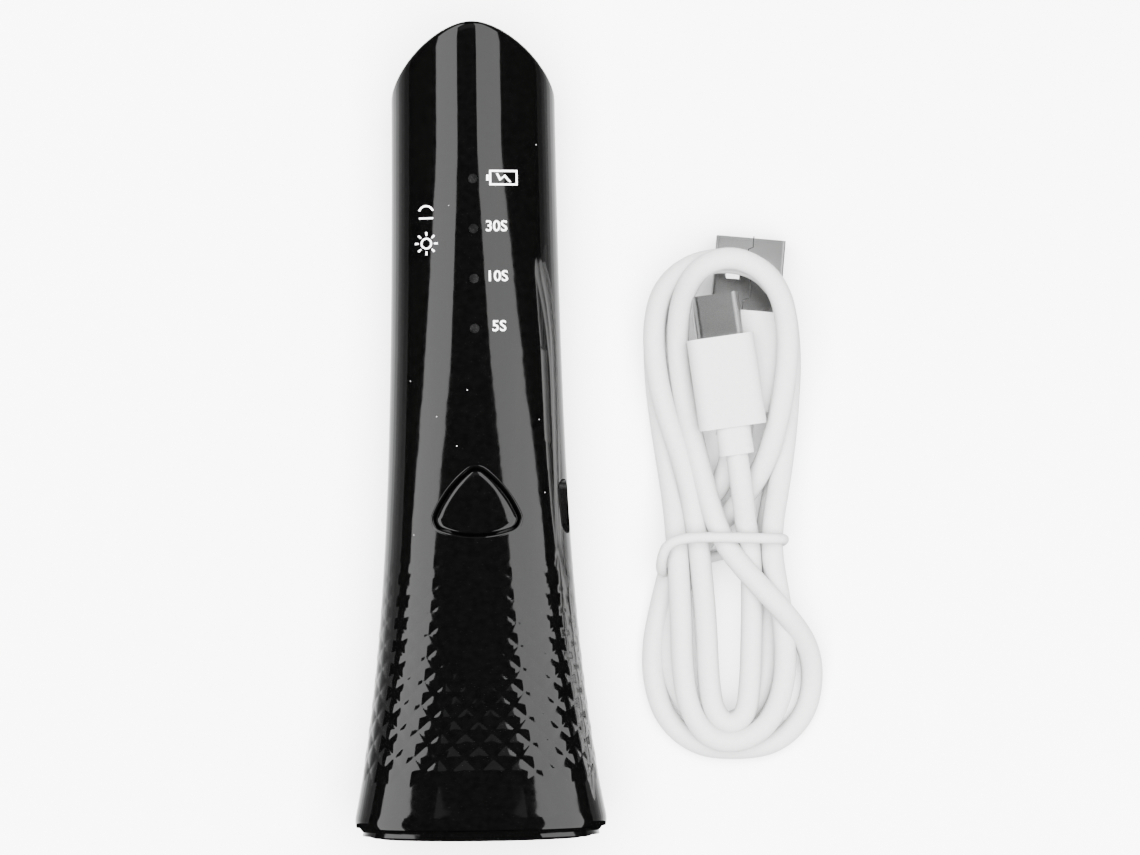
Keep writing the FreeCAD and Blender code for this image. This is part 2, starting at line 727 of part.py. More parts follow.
def lamp():
    outer = outer_body()
    front, rear = shells(outer)
    write("front_shell", front)
    write("rear_shell", rear)
    cap, pad, foot_screws = base_pieces(outer)
    write("base_cap", cap)
    write("base_pad", pad)
    write("base_screws", foot_screws)
    names = ("head_bezel", "lens_window", "reflector", "led_board", "heat_spreader", "uv_leds")
    for name, shape in zip(names, head_pieces()):
        write(name, shape)
    write("button_cap", button_pieces())
    for name, shape in zip(("tact_switch_body", "switch_cover", "switch_stem"), switch_pieces()):
        write(name, shape)
    pipes, bar = light_pipes()
    write("light_pipes", pipes)
    write("light_pipe_bar", bar)


def electronics():
    write("main_board", board())
    shell, tongue = port_pieces()
    write("usb_c_receptacle_shell", shell)
    write("usb_c_receptacle_tongue", tongue)
    write("controller_chip", chip(0, 80.0, 8.6, 3.9, 1.6))
    write("charge_chip", chip(-7.0, 56.6, 4.9, 3.4, 1.2))
    coil = rod(6.6, at(63.2), (board_top, board_top + 1.7), 2.2)
    write("boost_inductor", coil.makeFillet(0.4, coil.Edges[0]))
    caps = []
    for x, s in ((7.4, 49.6), (-7.4, 49.6), (-7.0, 63.6)):
        caps.append(rod(x, at(s), (board_top, board_top + 1.6), 1.6))
    write("board_capacitors", Part.makeCompound(caps))
    chips = []
    for x, s in ((-4.6, 76.0), (-4.6, 79.0), (-4.6, 82.0), (4.6, 76.0), (4.6, 79.0), (4.6, 82.0)):
        chips.append(box((x - 0.4, x + 0.4), (at(s) - 0.8, at(s) + 0.8), (board_top, board_top + 0.5)))
    write("board_resistors", Part.makeCompound(chips))
    lights = []
    for s in indicator_s:
        lights.append(box((-0.8, 0.8), (at(s) - 0.4, at(s) + 0.4), (board_top, board_top + 0.7)))
    write("indicator_leds", Part.makeCompound(lights))
    write("battery_socket", socket(-2.2, 49.4, 4.6, -1))
    write("led_socket", socket(4.3, 112.0, 3.5, 1))
    screws = []
    for s in board_screws_s:
        seat = V(0, at(s), board_top - board_thickness)
        screws.append(screw(seat, V(0, 0, -1), 5.0, 0.7))
    write("board_screws", Part.makeCompound(screws))
    screws = []
    for x, y, seat, split in screw_places():
        screws.append(screw(V(x, y, seat), V(0, 0, -1), shell_screw_length, screw_head_height))
    write("shell_screws", Part.makeCompound(screws))


def power():
    can, knob, pads, z = cell_pieces()
    write("battery_cell", can)
    write("battery_plus_cap", knob)
    write("battery_pad_low", pads[0])
    write("battery_pad_high", pads[1])
    z_mouth = board_top + 1.25
    z_cell = z + cell_radius + 0.75
    red = ((-3.1, at(48.4), z_mouth), (-3.1, at(45.2), z_mouth), (-3.5, at(42.2), z_cell + 0.6),
           (-3.3, at(38.8), z_cell), (-3.0, at(35.4), z_cell))
    black = ((-1.3, at(48.4), z_mouth), (-1.3, at(44.6), z_mouth), (-1.6, at(40.6), z_cell + 0.5),
             (-1.2, at(36.0), z_cell), (-0.9, at(31.5), z_cell))
    write("battery_lead_red", tube(red, 0.5))
    write("battery_lead_black", tube(black, 0.5))
    for name, x in (("led_lead_red", 3.6), ("led_lead_black", 4.9)):
        route = ((x, at(111.6), z_mouth), (x, at(113.9), z_mouth), (x, at(116.0), z_mouth - 0.2))
        write(name, tube(route, 0.45))


os.makedirs("parts", exist_ok=True)
lamp()
electronics()
power()
cable()
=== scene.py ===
import bpy
import json
import math
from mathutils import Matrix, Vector

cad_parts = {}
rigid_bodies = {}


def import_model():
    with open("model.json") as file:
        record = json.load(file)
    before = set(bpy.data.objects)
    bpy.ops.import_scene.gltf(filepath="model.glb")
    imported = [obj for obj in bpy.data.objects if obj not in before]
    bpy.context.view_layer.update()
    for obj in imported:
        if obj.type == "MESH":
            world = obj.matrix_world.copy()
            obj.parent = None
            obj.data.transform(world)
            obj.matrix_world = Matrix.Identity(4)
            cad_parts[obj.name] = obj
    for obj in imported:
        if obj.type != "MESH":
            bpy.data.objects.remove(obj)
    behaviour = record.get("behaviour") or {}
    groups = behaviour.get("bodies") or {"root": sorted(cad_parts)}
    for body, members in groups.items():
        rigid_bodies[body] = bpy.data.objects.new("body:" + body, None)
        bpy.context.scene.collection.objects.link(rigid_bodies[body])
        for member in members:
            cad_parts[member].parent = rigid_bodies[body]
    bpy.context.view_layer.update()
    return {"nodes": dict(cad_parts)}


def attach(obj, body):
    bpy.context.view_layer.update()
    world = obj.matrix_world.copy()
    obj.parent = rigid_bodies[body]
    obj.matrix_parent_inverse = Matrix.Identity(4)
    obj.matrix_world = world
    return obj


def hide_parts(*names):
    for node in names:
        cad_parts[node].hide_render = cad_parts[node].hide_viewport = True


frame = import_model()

mm = 0.001
nodes = frame["nodes"]


def deselect():
    for obj in bpy.context.scene.objects:
        obj.select_set(False)


def only(obj):
    deselect()
    obj.select_set(True)
    bpy.context.view_layer.objects.active = obj


def applyAll(obj):
    only(obj)
    for modifier in list(obj.modifiers):
        bpy.ops.object.modifier_apply(modifier=modifier.name)


def settle(obj, name, bodyName, slotName, *replaced):
    only(obj)
    bpy.ops.object.transform_apply(location=True, rotation=True, scale=True)
    obj.name = name
    obj.data.name = name
    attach(obj, bodyName)
    if replaced:
        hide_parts(*replaced)


def meshObject(name, points, faces):
    mesh = bpy.data.meshes.new(name)
    mesh.from_pydata([(x * mm, y * mm, z * mm) for x, y, z in points], [], faces)
    mesh.update()
    obj = bpy.data.objects.new(name, mesh)
    bpy.context.collection.objects.link(obj)
    return obj


def smoothByAngle(obj, degrees):
    only(obj)
    bpy.ops.object.shade_smooth_by_angle(angle=math.radians(degrees))


def faceOutward(obj):
    only(obj)
    bpy.ops.object.mode_set(mode="EDIT")
    bpy.ops.mesh.select_all(action="SELECT")
    bpy.ops.mesh.normals_make_consistent(inside=False)
    bpy.ops.object.mode_set(mode="OBJECT")


# The camera looks straight down on the lamp; aim and distance in mm, roll in degrees.
view = {"aim": (16.1, 0.4, 12.0), "distance": 1200.0, "lens": 219.4, "roll": -0.67,
        "clipEnd": 10.0}
cameraData = bpy.data.cameras.new("topCamera")
cameraData.lens = view["lens"]
cameraData.clip_end = view["clipEnd"]
camera = bpy.data.objects.new("topCamera", cameraData)
bpy.context.collection.objects.link(camera)
aimX, aimY, aimZ = view["aim"]
camera.location = (aimX * mm, aimY * mm, (aimZ + view["distance"]) * mm)
camera.rotation_euler = (0, 0, math.radians(view["roll"]))
bpy.context.scene.camera = camera
print("camera")


def tubeCurve(name, points, depth, pointRadius, roundness):
    curve = bpy.data.curves.new(name, "CURVE")
    curve.dimensions = "3D"
    curve.bevel_depth = depth
    curve.bevel_resolution = roundness
    curve.resolution_u = 8
    curve.use_fill_caps = True
    spline = curve.splines.new("NURBS")
    spline.points.add(len(points) - 1)
    for point, place in zip(spline.points, points):
        point.co = (*place, 1.0)
        point.radius = pointRadius
    spline.order_u = 3
    spline.use_endpoint_u = True
    spline.use_smooth = True
    tube = bpy.data.objects.new(name, curve)
    bpy.context.collection.objects.link(tube)
    return tube


# The charging cord in metres, from the USB-C plug's collar to the USB-A plug's collar.
cordFacts = {"diameter": 0.0038, "length": 0.69, "exit": (0.0449, -0.0046, 0.0112)}
cordPoints = (
    (0.0449, -0.0046, 0.0112), (0.04564, -0.0102, 0.0112), (0.0463, -0.0164, 0.0089),
    (0.0471, -0.0205, 0.0076), (0.0474, -0.0280, 0.0062), (0.0472, -0.0360, 0.0057),
    (0.0469, -0.0440, 0.0057), (0.0461, -0.0500, 0.0057), (0.0432, -0.0518, 0.0057),
    (0.0404, -0.0494, 0.0057), (0.0396, -0.0430, 0.0057), (0.0394, -0.0350, 0.0058),
    (0.0388, -0.0270, 0.0066), (0.0381, -0.0195, 0.0075), (0.0371, -0.0120, 0.0068),
    (0.0354, -0.0050, 0.0060), (0.0330, 0.0020, 0.0057), (0.0311, 0.0100, 0.0057),
    (0.0307, 0.0180, 0.0063), (0.0324, 0.0245, 0.0086), (0.0372, 0.0284, 0.0113),
    (0.0432, 0.0294, 0.0121), (0.0492, 0.0280, 0.0115), (0.0532, 0.0232, 0.0086),
    (0.0543, 0.0154, 0.0062), (0.0543, 0.0072, 0.0057), (0.0536, -0.0010, 0.0057),
    (0.0524, -0.0094, 0.0062), (0.0510, -0.0165, 0.0074), (0.0508, -0.0222, 0.0075),
    (0.0520, -0.0290, 0.0068), (0.0531, -0.0366, 0.0060), (0.0529, -0.0446, 0.0057),
    (0.0504, -0.0512, 0.0057), (0.0455, -0.0546, 0.0057), (0.0398, -0.0542, 0.0057),
    (0.0362, -0.0490, 0.0057), (0.0351, -0.0415, 0.0058), (0.0350, -0.0335, 0.0062),
    (0.0347, -0.0262, 0.0070), (0.0344, -0.0195, 0.0074), (0.0339, -0.0130, 0.0052),
    (0.0330, -0.0065, 0.0028), (0.0319, 0.0010, 0.0020), (0.0310, 0.0090, 0.0019),
    (0.0309, 0.0170, 0.0022), (0.0326, 0.0238, 0.0044), (0.0372, 0.0279, 0.0074),
    (0.0432, 0.0290, 0.0083), (0.0492, 0.0276, 0.0079), (0.0534, 0.0226, 0.0048),
    (0.0546, 0.0150, 0.0022), (0.0545, 0.0070, 0.0019), (0.0534, -0.0010, 0.0019),
    (0.0519, -0.0090, 0.0022), (0.0502, -0.0165, 0.0036), (0.0497, -0.0222, 0.0037),
    (0.0498, -0.0290, 0.0027), (0.0500, -0.0366, 0.0019), (0.0496, -0.0436, 0.0019),
    (0.0468, -0.0496, 0.0019), (0.0423, -0.0520, 0.0019), (0.0374, -0.0504, 0.0019),
    (0.0338, -0.0448, 0.0019), (0.0328, -0.0380, 0.0019), (0.0340, -0.0316, 0.0019),
    (0.0356, -0.0258, 0.0025), (0.0382, -0.0206, 0.0037), (0.0418, -0.0166, 0.0038),
    (0.0460, -0.0125, 0.0048), (0.0496, -0.0068, 0.0078), (0.0519, 0.0000, 0.0094),
    (0.0535, 0.0080, 0.0096), (0.0541, 0.0158, 0.0108), (0.0528, 0.0232, 0.0134),
    (0.0488, 0.0280, 0.0153), (0.0432, 0.0297, 0.0159), (0.0378, 0.0272, 0.0140),
    (0.0352, 0.0212, 0.0096), (0.0349, 0.0140, 0.0064), (0.0357, 0.0065, 0.0060),
    (0.0373, -0.0010, 0.0061), (0.0389, -0.0080, 0.0070), (0.0405, -0.0144, 0.0083),
    (0.0428, -0.0205, 0.0088), (0.0475, -0.0262, 0.0098), (0.0528, -0.0318, 0.0094),
    (0.0570, -0.0376, 0.0048), (0.0580, -0.0438, 0.0020), (0.0564, -0.0504, 0.0019),
    (0.0512, -0.0552, 0.0019), (0.0444, -0.0560, 0.0019), (0.0376, -0.0553, 0.0019),
    (0.0322, -0.0508, 0.0019), (0.0301, -0.0442, 0.0019), (0.0300, -0.0378, 0.0019),
    (0.0313, -0.0316, 0.0019), (0.0328, -0.0256, 0.0023), (0.0346, -0.0202, 0.0036),
    (0.0380, -0.0150, 0.0038), (0.0416, -0.0106, 0.0039), (0.0438, -0.0066, 0.0040),
    (0.0446, -0.0015, 0.0040),
)
cord = tubeCurve("chargingCord", cordPoints, 1.0, cordFacts["diameter"] / 2, 6)
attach(cord, "charging_cable")
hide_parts("cable_hank", "cable_lead_c", "cable_lead_a")
print("cord")

# The tie round the cord's waist, in mm.
tieFacts = {"radius": 0.9}
tiePoints = (
    (50.0, -20.6, 0.95), (52.4, -20.1, 1.5), (53.0, -19.6, 5.0), (52.9, -19.3, 9.6),
    (50.8, -19.2, 11.4), (46.0, -19.0, 11.65), (40.0, -18.8, 11.65), (35.6, -18.9, 11.6),
    (32.6, -20.0, 11.2), (31.6, -22.6, 10.0), (31.6, -24.7, 7.0), (32.3, -25.0, 3.2),
    (34.0, -24.2, 1.2), (40.0, -22.6, 0.95), (46.0, -21.3, 0.95), (50.6, -20.4, 1.0),
)
tiePlaces = [tuple(value * mm for value in place) for place in tiePoints]
tie = tubeCurve("cordTie", tiePlaces, tieFacts["radius"] * mm, 1.0, 5)
only(tie)
bpy.ops.object.convert(target="MESH")
bpy.ops.object.shade_smooth()
settle(tie, "cordTie", "charging_cable", "white_cable", "cable_tie")
print("tie")

# The lamp's section in mm, at a station counted from the foot. The three curvature radii of a
# half section (corner, flank, crown) are each a head value plus a foot value times the flare.
body = {
    "headHalfWidth": 13.8, "footExtraHalfWidth": 8.6, "headDepth": 13.0, "footExtraDepth": 2.0,
    "headSeam": 11.0, "footExtraSeam": 6.0, "flareLength": 38.0, "length": 140.0,
    "wall": 1.8, "ground": 0.8, "footRound": 4.0, "edgeRound": 0.8, "faceOffset": 117.09,
    "frontRadii": ((3.5, 6.5), (16.9, -15.8), (2.4, 19.8)),
    "rearRadii": ((3.5, 6.5), (13.3, -3.9), (6.0, 7.8)),
}


def flare(station):
    return math.exp(-station / body["flareLength"])


def halfWidth(station):
    return body["headHalfWidth"] + body["footExtraHalfWidth"] * flare(station)


def frontDepth(station):
    return body["headDepth"] + body["footExtraDepth"] * flare(station)


def seamHeight(station):
    return body["headSeam"] + body["footExtraSeam"] * flare(station)


def profile(angle, corner, flank, crown):
    si, co = math.sin(angle), math.cos(angle)
    across = corner * si + 4 * flank * (si ** 3 / 3 - si ** 5 / 5)
    across += crown * (si - 2 * si ** 3 / 3 + si ** 5 / 5)
    drop = corner * (1 - co) + 4 * flank * (2 / 15 - co ** 3 / 3 + co ** 5 / 5)
    drop += crown * (1 - co ** 5) / 5
    return across, drop


def shape(station, angle, front):
    mix = flare(station)
    pairs = body["frontRadii"] if front else body["rearRadii"]
    radii = [head + foot * mix for head, foot in pairs]
    across, drop = profile(angle, *radii)
    fullAcross, fullDrop = profile(math.pi / 2, *radii)
    return across / fullAcross, drop / fullDrop


def sectionPoint(station, angle, inset, front):
    across, drop = shape(station, angle, front)
    x = across * (halfWidth(station) - inset)
    seam = seamHeight(station)
    if front:
        return x, seam + (1 - drop) * (frontDepth(station) - inset)
    return x, seam - (1 - drop) * (seam + body["ground"] - inset)


def sectionNormal(station, angle, front):
    step = 0.01
    x0, z0 = sectionPoint(station, angle - step, 0, front)
    x1, z1 = sectionPoint(station, angle + step, 0, front)
    dx, dz = x1 - x0, z1 - z0
    size = math.hypot(dx, dz)
    sign = 1 if front else -1
    return -dz / size * sign, dx / size * sign


# Height of the front surface over a place, all in mm.
def frontSurface(x, y):
    station = y + body["length"] / 2
    low, high = 0.0, math.pi / 2
    for _ in range(24):
        middle = (low + high) / 2
        if sectionPoint(station, middle, 0, True)[0] < abs(x):
            low = middle
        else:
            high = middle
    return sectionPoint(station, low, 0, True)[1]


# Angles that share the section's length evenly at a station near the foot.
def evenAngles(count, front):
    steps, station = 400, 20.0
    angles = [math.pi * (step / steps - 0.5) for step in range(steps + 1)]
    points = [sectionPoint(station, angle, 0, front) for angle in angles]
    lengths = [0.0]
    for first, second in zip(points, points[1:]):
        lengths.append(lengths[-1] + math.dist(first, second))
    found, index = [], 0
    for column in range(count + 1):
        target = lengths[-1] * column / count
        while index < steps - 1 and lengths[index + 1] < target:
            index += 1
        span = lengths[index + 1] - lengths[index]
        part = (target - lengths[index]) / span
        found.append(angles[index] + (angles[index + 1] - angles[index]) * part)
    return found


# Diamond relief near the foot, in mm: it is at full height up to one station and gone at another.
relief = {"height": 0.125, "columns": 6, "centre": 18.86, "lowest": 10.5, "full": 20.0,
          "gone": 52.0, "from": 9, "to": 50, "slope": 1.15, "sharpness": 1.2,
          "headPitch": 1.75, "footExtraPitch": 0.65, "pitchStart": 12, "pitchLength": 18}


def halfPitch(station):
    fade = math.exp(-(station - relief["pitchStart"]) / relief["pitchLength"])
    return relief["headPitch"] + relief["footExtraPitch"] * fade


def rowCoordinate(station):
    steps = 40
    span = station - relief["centre"]
    total = 0.0
    for step in range(steps):
        total += span / steps / halfPitch(relief["centre"] + span * (step + 0.5) / steps)
    return total


def rowStation(row):
    station = relief["centre"]
    for _ in range(12):
        station += (row - rowCoordinate(station)) * halfPitch(station)
    return station


rowStrength = {}


def rowFade(row):
    if row not in rowStrength:
        station = rowStation(row)
        if station < relief["lowest"]:
            rowStrength[row] = 0.0
        else:
            fade = (relief["gone"] - station) / (relief["gone"] - relief["full"])
            fade = min(1.0, max(0.0, fade))
            rowStrength[row] = fade
    return rowStrength[row]


# The column counts diamond widths and the row counts half their height.
def reliefHeight(column, row):
    best = 0.0
    for lattice in (0, 1):
        centreRow = 2 * round((row - lattice) / 2) + lattice
        centreColumn = round(column - lattice / 2) + lattice / 2
        across = abs(column - centreColumn) * 2
        along = abs(row - centreRow)
        if across + along < 1:
            room = 1 - along
            crown = 1 - (across / room) ** 2
            slope = 1 - along ** relief["slope"]
            best = rowFade(centreRow) * slope * crown ** relief["sharpness"]
    return relief["height"] * best


# The two shells. Each is a closed grid of paths that run from the foot's seam along the outside,
# over the rim of the oblique face and back along the inside. Stations and steps are in mm.
shellFacts = {
    "lampFront": {"front": True, "node": "front_shell", "columns": 192, "seamGap": 0.0},
    "lampRear": {"front": False, "node": "rear_shell", "columns": 192, "seamGap": 0.004},
}
pathFacts = {
    "footStations": (2.05, 2.3, 2.7, 3.2, 3.7, 4.2, 4.8, 5.6, 6.4, 7.2, 8.0),
    "fineEnd": 48, "fineStep": 0.34, "evenEnd": 100, "evenStep": 1.25, "headSteps": 26,
    "headGuess": 120.0, "edgeSteps": 8, "innerSkip": 8, "innerShort": 1.0, "rimInset": 0.6,
}


def stationList():
    found = list(pathFacts["footStations"])
    while found[-1] < pathFacts["fineEnd"]:
        found.append(found[-1] + pathFacts["fineStep"])
    while found[-1] < pathFacts["evenEnd"]:
        found.append(found[-1] + pathFacts["evenStep"])
    return found


def footInset(station):
    if station >= body["footRound"]:
        return 0.0
    rest = body["footRound"] - station
    return body["footRound"] - math.sqrt(body["footRound"] ** 2 - rest ** 2)


# Where the straight path ends, the arc round the face's edge, and points on the face's rim.
def headCurve(angle, front):
    radius = body["edgeRound"]
    station = pathFacts["headGuess"]
    for _ in range(6):
        station = sectionPoint(station, angle, 0, front)[1] + body["faceOffset"]
    nx, nz = sectionNormal(station, angle, front)
    opening = math.pi - math.acos(max(-1, min(1, -nz * math.sqrt(0.5))))
    reach = radius / math.tan(opening / 2)
    back = reach * math.sqrt(1 + nx * nx)
    spread = nx * nx + 2 * nz * nz - nx * nx * nz * nz / (nz * nz + 2 * nx * nx)
    inset = reach / math.sqrt(spread)
    start = station - back
    x0, z0 = sectionPoint(start, angle, 0, front)
    x1, z1 = sectionPoint(station, angle, 0, front)
    x2, z2 = sectionPoint(station, angle, inset, front)
    first = Vector((x0, start, z0))
    corner = Vector((x1, station, z1))
    last = Vector((x2, z2 + body["faceOffset"], z2))
    weight = math.sin(opening / 2)
    arc = []
    for step in range(pathFacts["edgeSteps"] + 1):
        t = step / pathFacts["edgeSteps"]
        a, b, c = (1 - t) ** 2, 2 * weight * t * (1 - t), t * t
        arc.append((first * a + corner * b + last * c) / (a + b + c))
    rim = []
    for share in (0.5, 1.0):
        ring = inset + (body["wall"] - inset) * share
        x, z = sectionPoint(station, angle, ring, front)
        rim.append(Vector((x, z + body["faceOffset"], z)))
    return start, arc, rim


def buildShell(name, facts):
    front, count = facts["front"], facts["columns"]
    angles = evenAngles(count, front)
    stations = stationList()
    rows = [rowCoordinate(station) for station in stations]
    half = body["length"] / 2
    headSteps, rimInset = pathFacts["headSteps"], pathFacts["rimInset"]
    columns = []
    for index, angle in enumerate(angles):
        angle *= 1 - facts["seamGap"]
        path = []
        column = (index / count - 0.5) * 2 * relief["columns"]
        for station, row in zip(stations, rows):
            inset = footInset(station)
            if relief["from"] < station < relief["to"]:
                inset -= reliefHeight(column, row)
            x, z = sectionPoint(station, angle, inset, front)
            path.append((x, station - half, z))
        start, arc, rim = headCurve(angle, front)
        last = stations[-1]
        for step in range(1, headSteps):
            station = last + (start - last) * step / headSteps
            x, z = sectionPoint(station, angle, 0, front)
            path.append((x, station - half, z))
        for point in arc + rim:
            path.append((point.x, point.y - half, point.z))
        outer = len(path)
        inside = []
        for order in range(outer - 3, 0, -pathFacts["innerSkip"]):
            station = min(path[order][1] + half, start - pathFacts["innerShort"])
            x, z = sectionPoint(station, angle, body["wall"] + footInset(station), front)
            inside.append((x, station - half, z))
        station = stations[0]
        x, z = sectionPoint(station, angle, body["wall"] + rimInset, front)
        inside.append((x, station - half, z))
        path += inside
        if not front:
            path = [(x, y, max(z, 0.0 if order < outer else body["wall"] - rimInset))
                    for order, (x, y, z) in enumerate(path)]
        columns.append(path)
    size = len(columns[0])
    points = [point for path in columns for point in path]
    faces = []
    for index in range(count):
        base, following = index * size, (index + 1) * size
        for order in range(size):
            after = (order + 1) % size
            quad = (base + order, base + after, following + after, following + order)
            faces.append(quad if front else quad[::-1])
    # The seam's two flat ends: the many outer points are shared out over the few inner ones.
    outerOrder = list(range(outer - 1, -1, -1))
    for base in (0, count * size):
        inner = [base + order for order in range(outer, size)]
        cursor = 0
        for piece, low in enumerate(inner):
            target = min(len(outerOrder) - 1, round((piece + 1) * len(outerOrder) / len(inner)))
            face = [base + order for order in outerOrder[cursor:target + 1]] + [low]
            if piece:
                face.append(inner[piece - 1])
            cursor = target
            faces.append(tuple(face if (base == 0) == front else face[::-1]))
    obj = meshObject(name, points, faces)
    faceOutward(obj)
    return obj


lampFront = buildShell("lampFront", shellFacts["lampFront"])
lampRear = buildShell("lampRear", shellFacts["lampRear"])
print("shells", len(lampFront.data.polygons), len(lampRear.data.polygons))

# The button's outline in mm: three corner rounds (x, y, radius) joined by three large arcs.
# Its rings are (outward offset, height above the front surface) pairs, and so are the lip's.
buttonFacts = {
    "centre": (0.0, -13.7), "sideRadius": 18.0, "sideSteps": 16, "cornerSteps": 14,
    "corners": ((0.0, 5.0, 2.0), (-5.35, -1.35, 1.65), (5.35, -1.35, 1.65)),
    "rings": ((1.0, -2.9), (1.0, -2.0), (0.0, -1.95), (0.0, -0.5), (-0.02, -0.205),
              (-0.09, -0.065), (-0.2, 0.055), (-0.36, 0.145), (-0.6, 0.215), (-0.9, 0.25)),
    "topShares": (0.8, 0.6, 0.4, 0.2, 0.06), "holeGrow": 0.85, "holeHeights": (12.0, 40.0),
    "lip": ((0.36, -1.9), (0.33, -0.5), (0.36, -0.26), (0.44, -0.1), (0.56, 0.01), (0.7, 0.05),
            (0.84, 0.03), (0.97, -0.05), (1.0, -0.5), (0.8, -1.9)),
}


def arcCentre(first, second):
    reach = buttonFacts["sideRadius"]
    x1, y1, r1 = first
    x2, y2, r2 = second
    gap = math.dist((x1, y1), (x2, y2))
    a, b = reach - r1, reach - r2
    along = (gap * gap + a * a - b * b) / (2 * gap)
    away = math.sqrt(a * a - along * along)
    ux, uy = (x2 - x1) / gap, (y2 - y1) / gap
    return x1 + ux * along - uy * away, y1 + uy * along + ux * away


def buttonArcs():
    corners = buttonFacts["corners"]
    arcs = []
    for index in range(3):
        first, second = corners[index], corners[(index + 1) % 3]
        cx, cy = arcCentre(first, second)
        start = math.atan2(first[1] - cy, first[0] - cx)
        end = math.atan2(second[1] - cy, second[0] - cx)
        if end < start:
            end += 2 * math.pi
        arcs.append([start, end, cx, cy, buttonFacts["sideRadius"]])
    found = []
    for index in range(3):
        side, following = arcs[index], arcs[(index + 1) % 3]
        found.append((*side, buttonFacts["sideSteps"]))
        start, end = side[1], following[0]
        while end < start:
            end += 2 * math.pi
        while end - start > math.pi * 2:
            end -= 2 * math.pi
        corner = corners[(index + 1) % 3]
        found.append((start, end, *corner, buttonFacts["cornerSteps"]))
    return found


outlineArcs = buttonArcs()


def buttonOutline(grow):
    points = []
    cx, cy = buttonFacts["centre"]
    for start, end, x, y, radius, steps in outlineArcs:
        for step in range(steps):
            angle = start + (end - start) * step / steps
            points.append((cx + x + (radius + grow) * math.cos(angle),
                           cy + y + (radius + grow) * math.sin(angle)))
    return points


def ringsObject(name, rings, closedEnds):
    size = len(rings[0])
    points = [point for ring in rings for point in ring]
    faces = []
    pairs = list(zip(range(len(rings)), range(1, len(rings))))
    if not closedEnds:
        pairs.append((len(rings) - 1, 0))
    for low, high in pairs:
        for step in range(size):
            after = (step + 1) % size
            faces.append((low * size + step, low * size + after,
                          high * size + after, high * size + step))
    if closedEnds:
        faces.append(tuple(reversed(range(size))))
        faces.append(tuple(range((len(rings) - 1) * size, len(rings) * size)))
    obj = meshObject(name, points, faces)
    faceOutward(obj)
    return obj


def liftedRing(grow, lift, share=1.0):
    cx, cy = buttonFacts["centre"]
    places = [(cx + (x - cx) * share, cy + (y - cy) * share) for x, y in buttonOutline(grow)]
    return [(x, y, frontSurface(x, y) + lift) for x, y in places]


capRings = [liftedRing(grow, lift) for grow, lift in buttonFacts["rings"]]
capRings += [liftedRing(*buttonFacts["rings"][-1], share) for share in buttonFacts["topShares"]]
buttonPiece = ringsObject("powerButton", capRings, True)
smoothByAngle(buttonPiece, 40)
settle(buttonPiece, "powerButton", "button", "black_satin", "button_cap")

lipRings = [liftedRing(grow, lift) for grow, lift in buttonFacts["lip"]]
buttonLip = ringsObject("buttonLip", lipRings, False)
smoothByAngle(buttonLip, 40)
settle(buttonLip, "buttonLip", "root", "black_gloss")
print("button")

# Openings in the shells, in mm. The port and the screw holes go in from outside the lamp.
openings = {
    "indicators": (17.5, 26.05, 34.6, 43.15), "indicatorRadius": 0.85, "indicatorSpan": (16, 32),
    "portPlace": (17.0, -13.1, 14.82), "portSize": (12, 9.34, 3.56), "portRound": 1.5,
    "screws": ((11.0, -50.0), (9.4, 14.0)), "screwRadius": 2.05, "screwSpan": (-1, 6),
}


def cutFrom(target, cutters):
    deselect()
    for cutter in cutters:
        cutter.select_set(True)
    bpy.context.view_layer.objects.active = cutters[0]
    if len(cutters) > 1:
        bpy.ops.object.join()
    cutter = cutters[0]
    modifier = target.modifiers.new("cut", "BOOLEAN")
    modifier.operation = "DIFFERENCE"
    modifier.solver = "EXACT"
    modifier.object = cutter
    applyAll(target)
    bpy.data.objects.remove(cutter, do_unlink=True)


def cylinder(radius, low, high, x, y, vertices=32):
    deselect()
    bpy.ops.mesh.primitive_cylinder_add(
        vertices=vertices, radius=radius * mm, depth=(high - low) * mm,
        location=(x * mm, y * mm, (low + high) / 2 * mm))
    return bpy.context.object


holeOutline = buttonOutline(buttonFacts["holeGrow"])
holeRings = [[(x, y, height) for x, y in holeOutline] for height in buttonFacts["holeHeights"]]
frontCutters = [ringsObject("buttonHole", holeRings, True)]
for place in openings["indicators"]:
    frontCutters.append(cylinder(
        openings["indicatorRadius"], *openings["indicatorSpan"], 0, place))


def portCutter():
    deselect()
    place = tuple(value * mm for value in openings["portPlace"])
    bpy.ops.mesh.primitive_cube_add(size=mm, location=place)
    cube = bpy.context.object
    cube.scale = openings["portSize"]
    bpy.ops.object.transform_apply(location=False, rotation=False, scale=True)
    bpy.ops.object.mode_set(mode="EDIT")
    bpy.ops.mesh.select_all(action="DESELECT")
    bpy.ops.object.mode_set(mode="OBJECT")
    for edge in cube.data.edges:
        first, second = (cube.data.vertices[index].co for index in edge.vertices)
        edge.select = abs(first.x - second.x) > mm
    bpy.ops.object.mode_set(mode="EDIT")
    bpy.ops.mesh.bevel(offset=openings["portRound"] * mm, segments=6)
    bpy.ops.object.mode_set(mode="OBJECT")
    return cube


cutFrom(lampFront, frontCutters)
cutFrom(lampFront, [portCutter()])
cutFrom(lampRear, [portCutter()])
rearCutters = []
for x, y in openings["screws"]:
    for side in (1, -1):
        rearCutters.append(cylinder(
            openings["screwRadius"], *openings["screwSpan"], side * x, y))
cutFrom(lampRear, rearCutters)
for shell, name in ((lampFront, "lampFront"), (lampRear, "lampRear")):
    smoothByAngle(shell, 35)
    settle(shell, name, "root", "black_gloss", shellFacts[name]["node"])
print("openings")

